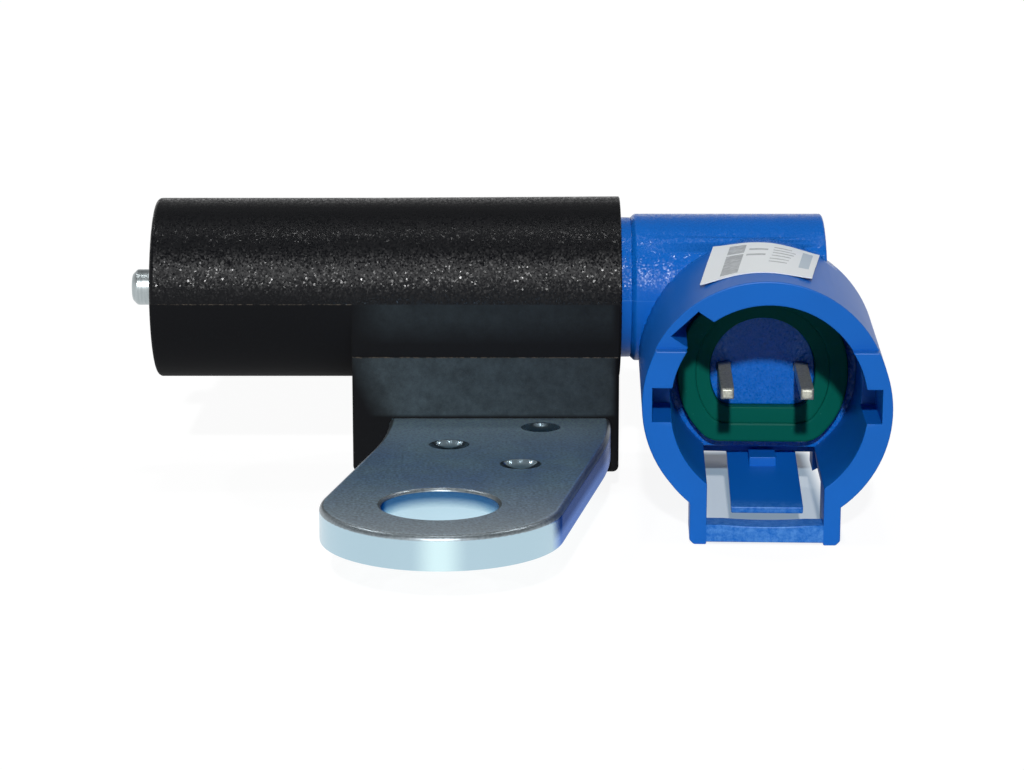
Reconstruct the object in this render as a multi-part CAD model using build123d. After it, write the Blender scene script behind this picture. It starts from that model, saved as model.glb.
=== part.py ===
from build123d import *
import math
import os

# Crankshaft position sensor, inductive type, in millimetres.
# Origin: centre of the fixing hole on the underside of the mounting plate.
# X runs along the barrel towards the connector, Y from the plate's free end to the barrel, Z up.

# Barrel and block, one black moulding
barrel_y = 41.3            # barrel axis, distance from the fixing hole
barrel_over_plate = 11.4   # barrel axis, height over the plate's top
barrel_d = 18.0            # of the nose, ahead of the block
barrel_growth = 0.15       # radius gained on the way over the block
barrel_length = 46.5
nose_x = -29.3             # end face of the barrel's nose
nose_wall = 1.3            # plastic in front of the bobbin
nose_edge = 0.5
block_start_x = -9.4
block_to_barrel_end = 0.2  # barrel shows this much beyond the block
block_drop = 17.0          # underside of the block below the barrel's axis
ledge_drop = 5.3           # lower part of the block stands proud from here down
block_proud = 0.1          # beyond the barrel's side, at its stout end
block_edge = 0.6

# Pole, magnet and coil
pole_d = 3.6
pole_reach = 2.6           # tip beyond the nose
pole_chamfer = 0.5
pole_head_d = 7.0
pole_head_t = 1.5
bobbin_length = 22.0
bobbin_wall = 1.0
bobbin_flange_d = 14.4
front_flange_t = 1.0
rear_flange_t = 2.5
winding_d = 13.2
tape_t = 0.2
magnet_d = 8.0
magnet_length = 8.0

# Mounting plate
plate_t = 3.2
plate_half_width = 10.9
plate_end_x = 0.2          # centre of the round end
plate_end_y = 0.4
plate_lean = 11.3          # degrees that the plate leans towards the nose
plate_knee_y = 25.5        # where the lean starts
plate_knee_straight = 0.6  # straight edge between the knee's curve and the block
plate_edge = 0.6           # rounding that the punch leaves on the top edges
hole_d = 10.5
hole_edge = 0.25
tab_width = 16.0           # part held in the block
tab_coining = 0.3          # the tab is this much thinner on each face
tab_depth = 9.0
tab_edge_wall = 2.6        # side of the tab to the side of the plate
anchor_d = 3.5
anchor_pitch = 8.0
anchor_depth = 5.0
dent_d = 3.8
dent_depth = 0.75
dent_places = [(0.4, 21.4), (9.2, 28.3), (7.2, 14.0)]

# Blue connector body
neck_d = 14.1
neck_gap = 1.1             # neck that shows between barrel and elbow
spigot_length = 8.4
rib_d = 15.2
rib_width = 1.0
rib_pitch = 3.0
rib_count = 2
elbow_d = 14.8
elbow_length = 19.25
elbow_edge = 0.4
elbow_end_edge = 0.25

# Socket
socket_x = 31.3            # where the socket's axis crosses the elbow's
socket_drop = 5.7          # socket axis below the barrel's axis
socket_turn = -2.2         # degrees that the socket is off square to the barrel
mouth_y = 13.8             # front face of the lower half
shroud_length = 22.6
shroud_r = 11.55           # upper part, at the mouth
shroud_shift_x = -0.25     # its centre beside the socket's axis
shroud_shift_z = -0.2      # and below it
shroud_foot_r = 11.45      # lower part
shroud_foot_drop = 0.67    # its centre below the socket's axis
shroud_draft = 0.63        # degrees, wider towards the rear
socket_r = 9.1
socket_depth = 16.0
oval_drop = 0.55           # lower half circle sits this much lower
mouth_step = 1.2           # upper half of the front face is set back
mouth_step_z = 4.95        # height of the step over the socket axis
notch_height = 3.2
notch_reach = 10.63
notch_shift = -0.2         # their middle beside the socket's axis
notch_drop = 0.16          # and below it
notch_depth = 8.0
keyway_angle = 133.0
keyway_width = 3.4
keyway_reach = 10.7        # flat bottom of the keyway, from the socket's axis
keyway_shift = 0.8         # middle of that bottom beside the keyway's angle
keyway_skew = 13.0         # degrees that its two walls lean
keyway_depth = 12.0

# Latch box under the socket
latch_width = 14.1
latch_shift = -0.2         # its middle beside the socket's axis
latch_wall = 1.6
latch_bottom = 13.5        # below the socket axis
latch_length = 5.5
latch_foot_edge = 0.4
bar_depth = 2.6
bar_bottom_lift = 0.22
bar_height = 1.68
bar_scoop = 0.15           # hollow in the bar's upper edge
window_length = 15.6
window_lean = 10.5         # degrees that its sides lean outward, behind the latch box
tongue_width = 6.8
tongue_shift = 0.15        # its middle beside the socket's axis
tongue_t = 0.65
tongue_root_drop = 9.1     # top of the tongue below the socket axis, at its root
tongue_tip_drop = 10.77
tongue_gap = 0.9           # tongue tip to front bar
tongue_foot = 3.0          # length of its root under the floor
boss_width = 2.65
boss_height = 0.45
boss_length = 3.2
boss_from_root = 0.8

# Seal ring at the bottom of the socket
seal_gap = 0.8
seal_proud = 1.5           # stands over the socket's floor
seal_set = 1.5             # sits in its groove by this much
seal_outer_flat = 7.2
seal_inner_r = 5.1
seal_inner_flat = 3.75
seal_lip_r = 6.45
seal_lip_flat = 5.3
seal_lip_drop = 0.35       # inner land is lower than the outer one
seal_corner = 2.6          # of the outer edge, less for the inner ones

# Terminals, posts and joints
pin_pitch = 7.5
pin_w = 1.25
pin_t = 1.1
pin_tip_y = 18.0
pin_chamfer = 0.2
lead_w = 1.4               # width of a terminal behind the floor
lead_t = 0.8
lead_row = 4.2             # distance between the two leads that run along X
lead_tail = 4.6            # lead that comes out of the spigot
post_w = 0.6
post_in_flange = 2.0
post_overlap = 3.3         # post lies on the lead by this much
joint_w = 2.0
joint_h = 1.0
joint_length = 2.4
tail_w = 0.4               # winding's end on its way to the post
tail_turn_d = 1.7
tail_turn_w = 1.0

# Label on top of the shroud
label_t = 0.12
label_width = 10.8
label_length = 13.9
label_centre_x = -0.35     # from the socket axis
label_centre_y = 27.2
label_turn = -5.5

# Help for the modelling
past = 1.0                 # a cutting shape runs this far past the face it opens
close = 0.01               # two measures nearer than this count as the same

# Worked out from the sizes above
barrel_r = barrel_d / 2
stout_r = barrel_r + barrel_growth
barrel_z = plate_t + barrel_over_plate
barrel_end_x = nose_x + barrel_length
block_end_x = barrel_end_x - block_to_barrel_end
barrel_taper = math.degrees(math.atan(barrel_growth / (block_end_x - block_start_x)))
block_bottom_z = barrel_z - block_drop
block_ledge_z = barrel_z - ledge_drop
block_front_y = barrel_y - stout_r - block_proud
block_back_y = barrel_y + stout_r + block_proud
bobbin_x = nose_x + nose_wall
bobbin_end_x = bobbin_x + bobbin_length
rear_flange_x = bobbin_end_x - rear_flange_t
magnet_x = bobbin_end_x + pole_head_t
elbow_x = barrel_end_x + neck_gap
elbow_end_x = elbow_x + elbow_length
spigot_x = barrel_end_x - spigot_length
socket_z = barrel_z - socket_drop
floor_y = mouth_y + socket_depth
shroud_end_y = mouth_y + shroud_length
draft_growth = shroud_length * math.tan(math.radians(shroud_draft))
shroud_end_r = shroud_r + draft_growth
seal_r = socket_r - seal_gap
latch_bottom_z = socket_z - latch_bottom
latch_x = socket_x + latch_shift
latch_half = latch_width / 2
tongue_x = socket_x + tongue_shift
window_half = latch_half - latch_wall
window_y = mouth_y + bar_depth
window_end_y = window_y + window_length
lead_z = socket_z
lead_top_z = lead_z + lead_t / 2
tail_end_x = spigot_x - lead_tail
post_z = lead_top_z + post_w / 2
post_end_x = tail_end_x + post_overlap
joint_x = tail_end_x + (post_overlap - joint_length) / 2


def bar(x0, x1, y0, y1, z0, z1):
    # Block between two corners
    return Pos((x0 + x1) / 2, (y0 + y1) / 2, (z0 + z1) / 2) * Box(x1 - x0, y1 - y0, z1 - z0)


def round_x(radius, x0, x1, y=barrel_y, z=barrel_z):
    # Cylinder along X, on the barrel's axis unless told otherwise
    plane = Plane(origin=(x0, y, z), x_dir=(0, 1, 0), z_dir=(1, 0, 0))
    return extrude(plane * Circle(radius), amount=x1 - x0)


def growing_x(sketch, x0, x1):
    # Sketch drawn round the barrel's axis, extruded along X with the barrel's taper
    plane = Plane(origin=(x0, barrel_y, barrel_z), x_dir=(0, 1, 0), z_dir=(1, 0, 0))
    return extrude(plane * sketch, amount=x1 - x0, taper=-barrel_taper)


def turned(shape):
    # Swings a shape round the upright line where the socket's axis meets the elbow's
    return Pos(socket_x, barrel_y, 0) * Rot(0, 0, socket_turn) * Pos(-socket_x, -barrel_y, 0) * shape


def socket_plane(y):
    # Plane square to the socket's axis: local x is the part's X, local y its Z
    return Plane(origin=(socket_x, y, socket_z), x_dir=(1, 0, 0), z_dir=(0, -1, 0))


def socket_solid(sketch, y0, y1, draft=0.0):
    # Extrudes a sketch drawn round the socket's axis from y1 forward to y0
    return extrude(socket_plane(y1) * sketch, amount=y1 - y0, taper=draft)


def oval(radius):
    # Two half circles, the lower one dropped a little
    width = 2 * radius
    return Pos(0, -oval_drop / 2) * Rot(0, 0, 90) * SlotOverall(width + oval_drop, width)


def flat_oval(radius, flat):
    # Oval with its bottom cut flat and the two corners rounded
    disc = oval(radius) - Pos(0, -flat - radius) * Rectangle(4 * radius, 2 * radius)
    low = disc.vertices().sort_by(Axis.Y)[:2]
    return fillet(low, seal_corner * radius / seal_r)


def housing_blank():
    # Barrel and block before the inserts are taken out of them
    nose = round_x(barrel_r, nose_x, block_start_x)
    nose = fillet(nose.edges().group_by(Axis.X)[0], nose_edge)
    upper = Circle(barrel_r) + Pos(0, -ledge_drop / 2) * Rectangle(barrel_d, ledge_drop)
    middle = growing_x(upper, block_start_x, block_end_x)
    end = growing_x(Circle(stout_r), block_end_x, barrel_end_x)
    lower = bar(block_start_x, block_end_x, block_front_y, block_back_y, block_bottom_z, block_ledge_z)
    uprights = lower.edges().filter_by(Axis.Z)
    lower = fillet(uprights + lower.edges().group_by(Axis.Z)[0], block_edge)
    return nose + middle + end + lower


def pole_pin():
    # Shank through the bobbin, with a flat head against the magnet
    shank = round_x(pole_d / 2, nose_x - pole_reach, bobbin_end_x)
    shank = chamfer(shank.edges().group_by(Axis.X)[0], pole_chamfer)
    return shank + round_x(pole_head_d / 2, bobbin_end_x, magnet_x)


def magnet():
    return round_x(magnet_d / 2, magnet_x, magnet_x + magnet_length)


def lead_y(side):
    # The left lead runs along the front, the right one along the back
    return barrel_y + side * lead_row / 2


def post(side):
    y = lead_y(side)
    start_x = bobbin_end_x - post_in_flange
    half = post_w / 2
    return bar(start_x, post_end_x, y - half, y + half, post_z - half, post_z + half)


def tail_slot(side, width):
    # Straight run of the winding's end through the rear flange, outside the post
    y = lead_y(side) + side * (post_w + tail_turn_d) / 4
    half = width / 2
    end_x = bobbin_end_x + tail_turn_w
    return bar(rear_flange_x - tail_w, end_x, y - half, y + half, post_z - half, post_z + half)


def coil_winding():
    # Ring of wire, with its two ends led through the flange and wound on the posts
    coil = round_x(winding_d / 2, bobbin_x + front_flange_t, rear_flange_x)
    coil -= round_x(pole_d / 2 + bobbin_wall, bobbin_x, bobbin_end_x)
    for side in (-1, 1):
        turn = round_x(tail_turn_d / 2, bobbin_end_x, bobbin_end_x + tail_turn_w, lead_y(side), post_z)
        coil += tail_slot(side, tail_w) + (turn - post(side))
    return coil


def coil_tape():
    ring = round_x(winding_d / 2 + tape_t, bobbin_x + front_flange_t, rear_flange_x)
    return ring - round_x(winding_d / 2, bobbin_x, bobbin_end_x)


def bobbin():
    core = round_x(pole_d / 2 + bobbin_wall, bobbin_x, bobbin_end_x)
    core += round_x(bobbin_flange_d / 2, bobbin_x, bobbin_x + front_flange_t)
    core += round_x(bobbin_flange_d / 2, rear_flange_x, bobbin_end_x)
    core -= round_x(pole_d / 2, bobbin_x, bobbin_end_x)
    for side in (-1, 1):
        core -= post(side)
        core -= tail_slot(side, tail_w)
    return core


def terminal(side):
    # One stamping: contact pin, lead back through the floor, then a bend along the barrel
    pin_x = socket_x + side * pin_pitch / 2
    y = lead_y(side)
    half_t = lead_t / 2
    half_w = pin_w / 2
    pin = bar(pin_x - half_w, pin_x + half_w, pin_tip_y, floor_y, lead_z - pin_t / 2, lead_z + pin_t / 2)
    pin = chamfer(pin.edges().group_by(Axis.Y)[0], pin_chamfer)
    pin += bar(pin_x - lead_w / 2, pin_x + lead_w / 2, floor_y, y, lead_z - half_t, lead_z + half_t)
    turn_x = pin_x + lead_w / 2 + (y - barrel_y) * math.tan(math.radians(-socket_turn))
    run = bar(tail_end_x, turn_x, y - lead_w / 2, y + lead_w / 2, lead_z - half_t, lead_z + half_t)
    return turned(pin) + run


def solder_joint(side):
    y = lead_y(side)
    half = joint_w / 2
    blob = bar(joint_x, joint_x + joint_length, y - half, y + half, lead_top_z, lead_top_z + joint_h)
    blob = fillet(blob.edges().group_by(Axis.Z)[-1], joint_h / 4)
    return blob - post(side)


def plate_outline():
    # Straight root, a wide curve at the knee, then a leaning strip with a full round end
    lean = math.radians(plate_lean)
    run = (plate_knee_y - plate_end_y) / math.cos(lean)
    knee_x = plate_end_x + run * math.sin(lean)
    across = (math.cos(lean), -math.sin(lean))
    left = (plate_end_x - plate_half_width * across[0], plate_end_y - plate_half_width * across[1])
    right = (plate_end_x + plate_half_width * across[0], plate_end_y + plate_half_width * across[1])
    tip = (plate_end_x - plate_half_width * math.sin(lean), plate_end_y - plate_half_width * math.cos(lean))
    knee_left = (knee_x - plate_half_width, plate_knee_y)
    knee_right = (knee_x + plate_half_width, plate_knee_y)
    root_left = (knee_x - plate_half_width, block_front_y)
    root_right = (knee_x + plate_half_width, block_front_y)
    lines = [
        Line(root_left, knee_left),
        Line(knee_left, left),
        ThreePointArc(left, tip, right),
        Line(right, knee_right),
        Line(knee_right, root_right),
        Line(root_right, root_left),
    ]
    outline = make_face(lines)
    knees = [v for v in outline.vertices() if abs(v.Y - plate_knee_y) < close]
    curve = block_front_y - plate_knee_y - plate_knee_straight
    return fillet(knees, curve / math.tan(lean / 2)), knee_x


def mounting_plate():
    outline, root_x = plate_outline()
    plate = extrude(outline, amount=plate_t)
    top = plate.edges().group_by(Axis.Z)[-1].filter_by(lambda e: e.center().Y < block_front_y - close)
    plate = fillet(top, plate_edge)
    tab_x = root_x - plate_half_width + tab_edge_wall
    tab = bar(tab_x, tab_x + tab_width, block_front_y, block_front_y + tab_depth,
              tab_coining, plate_t - tab_coining)
    anchor_y = block_front_y + anchor_depth
    for shift in (-anchor_pitch / 2, anchor_pitch / 2):
        hole = Cylinder(anchor_d / 2, plate_t)
        tab -= Pos(tab_x + tab_width / 2 + shift, anchor_y, plate_t / 2) * hole
    plate += tab
    plate -= Pos(0, 0, plate_t / 2) * Cylinder(hole_d / 2, 2 * plate_t)
    rim = plate.edges().filter_by(GeomType.CIRCLE).filter_by(lambda e: abs(e.radius - hole_d / 2) < close)
    plate = chamfer(rim.group_by(Axis.Z)[-1], hole_edge)
    dent_r = (dent_d ** 2 / 4 + dent_depth ** 2) / (2 * dent_depth)
    for x, y in dent_places:
        plate -= Pos(x, y, plate_t - dent_depth + dent_r) * Sphere(dent_r)
    return plate


def spigot():
    # Goes into the end of the barrel, with ribs that the black plastic grips
    plug = round_x(neck_d / 2, spigot_x, elbow_x)
    for n in range(rib_count):
        start = spigot_x + rib_pitch / 2 + n * rib_pitch
        plug += round_x(rib_d / 2, start, start + rib_width)
    return plug


def elbow():
    drum = round_x(elbow_d / 2, elbow_x, elbow_end_x)
    drum = fillet(drum.edges().group_by(Axis.X)[-1], elbow_end_edge)
    return chamfer(drum.edges().group_by(Axis.X)[0], elbow_edge)


def latch_box():
    # Hoop at the mouth: two short cheeks and a front bar, before the window is cut
    x0 = latch_x - latch_half
    x1 = latch_x + latch_half
    box_end_y = mouth_y + latch_length
    box = bar(x0, x1, mouth_y, box_end_y, latch_bottom_z, socket_z - socket_r)
    feet = box.edges().filter_by(Axis.Y).group_by(Axis.Z)[0]
    return chamfer(feet, latch_foot_edge)


def leaning_window(top_z, under_z):
    # Opening in the shroud behind the latch box, wider below than above
    low_half = window_half + (top_z - under_z) * math.tan(math.radians(window_lean))
    high, low = top_z - socket_z, under_z - socket_z
    outline = Polyline(
        (-window_half, high), (window_half, high), (low_half, low), (-low_half, low), close=True)
    return socket_solid(Pos(latch_shift, 0) * make_face(outline), mouth_y + latch_length, window_end_y)


def latch_window():
    # Room for the mating latch, open to the socket above and to the outside below
    x0 = latch_x - window_half
    x1 = latch_x + window_half
    front_y = mouth_y - past
    under_z = latch_bottom_z - past
    bar_base_z = latch_bottom_z + bar_bottom_lift
    bar_top_z = bar_base_z + bar_height
    top_z = socket_z - seal_outer_flat - seal_gap
    room = bar(x0, x1, window_y, window_end_y, under_z, top_z)
    room += bar(x0, x1, front_y, floor_y, bar_top_z, socket_z - seal_outer_flat)
    room += leaning_window(top_z, under_z)
    root_z = socket_z - tongue_root_drop
    room += bar(x0, x1, window_end_y - past, shroud_end_y + past, under_z, root_z)
    room += bar(x0, x1, front_y, window_y, under_z, bar_base_z)
    scoop_r = (window_half ** 2 / 2 + bar_scoop ** 2) / (2 * bar_scoop)
    scoop = Pos(latch_x, mouth_y + bar_depth / 2, bar_top_z - bar_scoop + scoop_r)
    hollow = scoop * Rot(90, 0, 0) * Cylinder(scoop_r, 2 * bar_depth)
    limits = bar(x0, x1, front_y, window_y + past, bar_top_z - bar_scoop, bar_top_z + bar_scoop)
    return room + (hollow & limits)


def tongue():
    # Springy tongue that slopes down from the rear of the window
    tip_y = window_y + tongue_gap
    root_y = window_end_y
    root_z = socket_z - tongue_root_drop
    tip_z = socket_z - tongue_tip_drop
    side = Plane(origin=(tongue_x - tongue_width / 2, 0, 0), x_dir=(0, 1, 0), z_dir=(1, 0, 0))
    foot_y = root_y + tongue_foot
    profile = Polyline(
        (tip_y, tip_z), (root_y, root_z), (root_y, root_z + tongue_t), (foot_y, root_z + tongue_t),
        (foot_y, root_z - tongue_t), (root_y, root_z - tongue_t), (tip_y, tip_z - tongue_t), close=True)
    blade = extrude(side * make_face(profile), amount=tongue_width)
    boss_y = root_y - boss_from_root
    boss = bar(tongue_x - boss_width / 2, tongue_x + boss_width / 2, boss_y - boss_length, boss_y,
               root_z - tongue_t, root_z + boss_height)
    return blade + boss


def keyway():
    # Flat bottom at its reach, and two walls that lean the same way
    low = keyway_shift - keyway_width / 2
    high = keyway_shift + keyway_width / 2
    slide = keyway_reach * math.tan(math.radians(keyway_skew))
    walls = Polyline(
        (keyway_reach, low), (keyway_reach, high), (0, high - slide), (0, low - slide), close=True)
    return Rot(0, 0, keyway_angle) * make_face(walls)


def socket_room():
    # Everything that is hollow above the latch window
    front_y = mouth_y - past
    room = socket_solid(oval(socket_r), front_y, floor_y)
    notch = Pos(notch_shift, -notch_drop) * Rectangle(2 * notch_reach, notch_height)
    room += socket_solid(notch, front_y, mouth_y + notch_depth)
    room += socket_solid(keyway(), front_y, mouth_y + keyway_depth)
    setback = Pos(0, mouth_step_z + shroud_r) * Rectangle(4 * shroud_r, 2 * shroud_r)
    room += socket_solid(setback, front_y, mouth_y + mouth_step)
    return room


def seal_ring(y0, y1):
    ring = flat_oval(seal_r, seal_outer_flat) - flat_oval(seal_inner_r, seal_inner_flat)
    return socket_solid(ring, y0, y1)


def connector_seal():
    front_y = floor_y - seal_proud
    ring = seal_ring(front_y, floor_y + seal_set)
    ring -= socket_solid(flat_oval(seal_lip_r, seal_lip_flat), front_y - past, front_y + seal_lip_drop)
    return turned(ring)


def shroud():
    # Two discs whose centres lie a little apart, and a saddle that closes the top to the elbow
    upper = Pos(shroud_shift_x, shroud_shift_z) * Circle(shroud_end_r)
    lower = Pos(0, -shroud_foot_drop) * Circle(shroud_foot_r + draft_growth)
    tube = socket_solid(upper, mouth_y, shroud_end_y, shroud_draft)
    tube += socket_solid(lower, mouth_y, shroud_end_y, shroud_draft)
    side = 4 * shroud_r
    beside_elbow = Pos(elbow_end_x - socket_x - side / 2, side / 2) * Rectangle(side, side)
    return tube + socket_solid(upper & beside_elbow, shroud_end_y, barrel_y)


def connector_body():
    body = spigot() + elbow()
    body += turned(shroud() + latch_box())
    body -= turned(socket_room() + latch_window())
    body += turned(tongue())
    body -= turned(seal_ring(floor_y - past, floor_y + seal_set))
    for side in (-1, 1):
        body -= terminal(side)
    return body


def label():
    # Thin sheet that follows the top of the shroud
    centre = Pos(shroud_shift_x, shroud_shift_z)
    sheet = socket_solid(centre * Circle(shroud_end_r + label_t), mouth_y, shroud_end_y, shroud_draft)
    sheet -= socket_solid(centre * Circle(shroud_end_r), mouth_y, shroud_end_y, shroud_draft)
    above = Pos(socket_x + label_centre_x, label_centre_y, socket_z + shroud_r)
    return turned(sheet & above * Rot(0, 0, label_turn) * Box(label_width, label_length, shroud_r))


def housing(inserts):
    shell = housing_blank()
    for insert in inserts:
        shell -= insert
    return shell


pieces = {
    "pole_pin": pole_pin(),
    "magnet": magnet(),
    "bobbin": bobbin(),
    "coil_winding": coil_winding(),
    "coil_tape": coil_tape(),
    "post_left": post(-1),
    "post_right": post(1),
    "terminal_left": terminal(-1),
    "terminal_right": terminal(1),
    "solder_joint_left": solder_joint(-1),
    "solder_joint_right": solder_joint(1),
    "mounting_plate": mounting_plate(),
    "connector_body": connector_body(),
}
pieces["housing"] = housing(list(pieces.values()))
pieces["connector_seal"] = connector_seal()
pieces["label"] = label()

os.makedirs("parts", exist_ok=True)
for name, shape in pieces.items():
    export_step(shape, f"parts/{name}.step")
    print(name, len(shape.solids()), round(shape.volume, 2))
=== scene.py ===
import math
import bmesh
import bpy
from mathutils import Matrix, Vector
from mathutils.bvhtree import BVHTree


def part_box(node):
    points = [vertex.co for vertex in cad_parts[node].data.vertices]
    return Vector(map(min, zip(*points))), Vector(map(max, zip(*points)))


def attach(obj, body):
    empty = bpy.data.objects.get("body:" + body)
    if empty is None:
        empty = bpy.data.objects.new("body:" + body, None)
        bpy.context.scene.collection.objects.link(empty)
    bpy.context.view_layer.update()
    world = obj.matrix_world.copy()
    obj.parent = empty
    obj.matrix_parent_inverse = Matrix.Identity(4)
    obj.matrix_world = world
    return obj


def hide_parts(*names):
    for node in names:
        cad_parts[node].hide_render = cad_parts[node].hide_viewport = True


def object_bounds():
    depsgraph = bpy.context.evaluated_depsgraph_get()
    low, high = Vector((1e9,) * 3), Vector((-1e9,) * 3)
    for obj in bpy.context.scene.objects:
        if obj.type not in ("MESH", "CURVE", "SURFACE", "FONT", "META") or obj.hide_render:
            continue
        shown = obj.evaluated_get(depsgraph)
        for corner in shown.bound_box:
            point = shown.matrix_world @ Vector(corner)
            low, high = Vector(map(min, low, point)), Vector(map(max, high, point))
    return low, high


# Crankshaft position sensor: black barrel and block, steel fixing plate, blue plug socket.
# Lengths in the dictionaries are millimetres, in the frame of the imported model.

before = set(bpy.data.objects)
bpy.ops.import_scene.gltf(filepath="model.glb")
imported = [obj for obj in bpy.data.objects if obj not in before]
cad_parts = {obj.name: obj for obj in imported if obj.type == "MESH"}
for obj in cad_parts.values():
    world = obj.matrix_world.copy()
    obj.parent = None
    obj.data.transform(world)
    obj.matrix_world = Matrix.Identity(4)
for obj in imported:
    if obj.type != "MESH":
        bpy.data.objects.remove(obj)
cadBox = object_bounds()
mm = 0.001
print("frame loaded:", len(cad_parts), "CAD nodes")


def toLinear(hexColour):
    # sRGB hex to the linear values that the shaders take
    parts = [int(hexColour[i:i + 2], 16) / 255 for i in (1, 3, 5)]
    flat = [c / 12.92 if c <= 0.04045 else ((c + 0.055) / 1.055) ** 2.4 for c in parts]
    return (*flat, 1.0)


def addNode(tree, kind, settings=None, links=None):
    # One node: settings go by property or input name, links by input name or number
    node = tree.nodes.new(kind)
    for key, value in (settings or {}).items():
        if isinstance(value, str) and value.startswith("#"):
            value = toLinear(value)
        if isinstance(key, str) and hasattr(node, key):
            setattr(node, key, value)
        else:
            node.inputs[key].default_value = value
    for key, source in (links or {}).items():
        if isinstance(source, bpy.types.Node):
            source = source.outputs[0]
        tree.links.new(source, node.inputs[key])
    return node


def newMaterial(name):
    # Empty material, and the object's own coordinates to hang its patterns on
    material = bpy.data.materials.new(name)
    material.use_nodes = True
    tree = material.node_tree
    tree.nodes.clear()
    place = addNode(tree, "ShaderNodeTexCoord").outputs["Object"]
    return material, tree, place


def paint(piece, material):
    piece.data.materials.clear()
    piece.data.materials.append(material)


# Camera, worked out from the photograph's vanishing lines
camera = {
    "place": (6.4, -256.5, 73.18),
    "pitchDown": 13.0,
    "lens": 105.47,
    "sensor": 36,
    "clip": (0.01, 10),                  # metres
}
bpy.ops.object.select_all(action="DESELECT")
bpy.ops.object.camera_add(
    location=[c * mm for c in camera["place"]],
    rotation=(math.radians(90 - camera["pitchDown"]), 0, 0))
photoCamera = bpy.context.object
photoCamera.name = "photoCamera"
photoCamera.data.lens = camera["lens"]
photoCamera.data.sensor_width = camera["sensor"]
photoCamera.data.clip_start, photoCamera.data.clip_end = camera["clip"]
bpy.context.scene.camera = photoCamera
print("camera placed")


# Soft copies stand in for the CAD nodes that show. They get the small edge radii that the mould
# or the tool leaves on outer edges, and even shading on their flats and rounds.
soft = {
    "merge": 0.001,                      # corners nearer than this are one
    "flat": 0.5,                         # degrees, flatter than this is one face
    "sharp": 35,                         # degrees, outer edges sharper than this get a radius
    "steps": 2,                          # flats in each radius
    "smooth": 20,                        # degrees, edges sharper than this stay creased
    "slip": 0.8,                         # a corner further off than this share of the radius goes back
    "needle": 0.02,                      # faces thinner than this are closed up
    "inverted": -0.5,                    # a face that looks this far into the solid is turned round
    "openFrom": 0.01,                    # an open edge has nothing in front of it from here on
}
edgeRadius = {
    "housing": 0.1,
    "connector_body": 0.12,
    "mounting_plate": 0.1,
    "connector_seal": 0.22,
    "pole_pin": 0.12,
    "terminal_left": 0.08,
    "terminal_right": 0.08,
}


def softCopy(nodeName, pieceName, openEdgesOnly=False):
    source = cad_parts[nodeName]
    edge = edgeRadius[nodeName]
    bpy.ops.object.select_all(action="DESELECT")
    source.select_set(True)
    bpy.context.view_layer.objects.active = source
    bpy.ops.object.duplicate()
    piece = bpy.context.object
    piece.name = pieceName
    bpy.ops.object.mode_set(mode="EDIT")
    bpy.ops.mesh.select_all(action="SELECT")
    bpy.ops.mesh.remove_doubles(threshold=soft["merge"] * mm)
    bpy.ops.mesh.dissolve_limited(angle_limit=math.radians(soft["flat"]))
    bpy.ops.mesh.vert_connect_concave()
    bpy.ops.mesh.select_mode(type="EDGE")
    bpy.ops.mesh.select_all(action="DESELECT")
    shape = bmesh.from_edit_mesh(piece.data)
    surface = BVHTree.FromBMesh(shape)
    for line in shape.edges:
        if len(line.link_faces) != 2 or line.calc_face_angle_signed(0) < math.radians(soft["sharp"]):
            continue
        middle = (line.verts[0].co + line.verts[1].co) / 2
        outward = (line.link_faces[0].normal + line.link_faces[1].normal).normalized()
        start = middle + outward * soft["openFrom"] * mm
        if openEdgesOnly and surface.ray_cast(start, outward)[0] is not None:
            continue
        line.select_set(True)
    bmesh.update_edit_mesh(piece.data)
    bpy.ops.mesh.bevel(offset=edge * mm, segments=soft["steps"], affect="EDGES", clamp_overlap=False)
    bpy.ops.object.mode_set(mode="OBJECT")
    # The bevel throws a few corners off the solid, and these go back to its surface
    low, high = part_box(nodeName)
    for corner in piece.data.vertices:
        near, normal, face, away = surface.find_nearest(corner.co)
        if away > soft["slip"] * edge * mm:
            corner.co = near
        corner.co = [min(max(c, least), most) for c, least, most in zip(corner.co, low, high)]
    bpy.ops.object.mode_set(mode="EDIT")
    bpy.ops.mesh.select_all(action="SELECT")
    bpy.ops.mesh.dissolve_degenerate(threshold=soft["needle"] * mm)
    bpy.ops.object.mode_set(mode="OBJECT")
    for side in piece.data.polygons:
        near, normal, face, away = surface.find_nearest(side.center)
        if normal.dot(side.normal) < soft["inverted"]:
            side.flip()
    bpy.ops.object.shade_smooth_by_angle(angle=math.radians(soft["smooth"]))
    bpy.ops.object.modifier_add(type="WEIGHTED_NORMAL")
    piece.modifiers[-1].keep_sharp = True
    bpy.ops.object.modifier_apply(modifier=piece.modifiers[-1].name)
    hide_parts(nodeName)
    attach(piece, "root")
    return piece


housingPiece = softCopy("housing", "barrelAndBlock", openEdgesOnly=True)
bodyPiece = softCopy("connector_body", "connectorBody")
platePiece = softCopy("mounting_plate", "fixingPlate")
sealPiece = softCopy("connector_seal", "sealRing")
polePiece = softCopy("pole_pin", "poleTip")
leftPin = softCopy("terminal_left", "leftPin")
rightPin = softCopy("terminal_right", "rightPin")
print("softened copies made")


def past(tree, place, axis, start, end):
    # Rises from 0 to 1 along an axis of the object, between two places in millimetres
    parts = addNode(tree, "ShaderNodeSeparateXYZ", links={"Vector": place})
    return addNode(tree, "ShaderNodeMapRange", {
        "From Min": start * mm, "From Max": end * mm}, {"Value": parts.outputs[axis]})


def allOf(tree, share, *others):
    # The shares multiplied: 1 only where each of them is 1
    for other in others:
        share = addNode(tree, "ShaderNodeMath", {"operation": "MULTIPLY"}, {0: share, 1: other})
    return share


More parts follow.
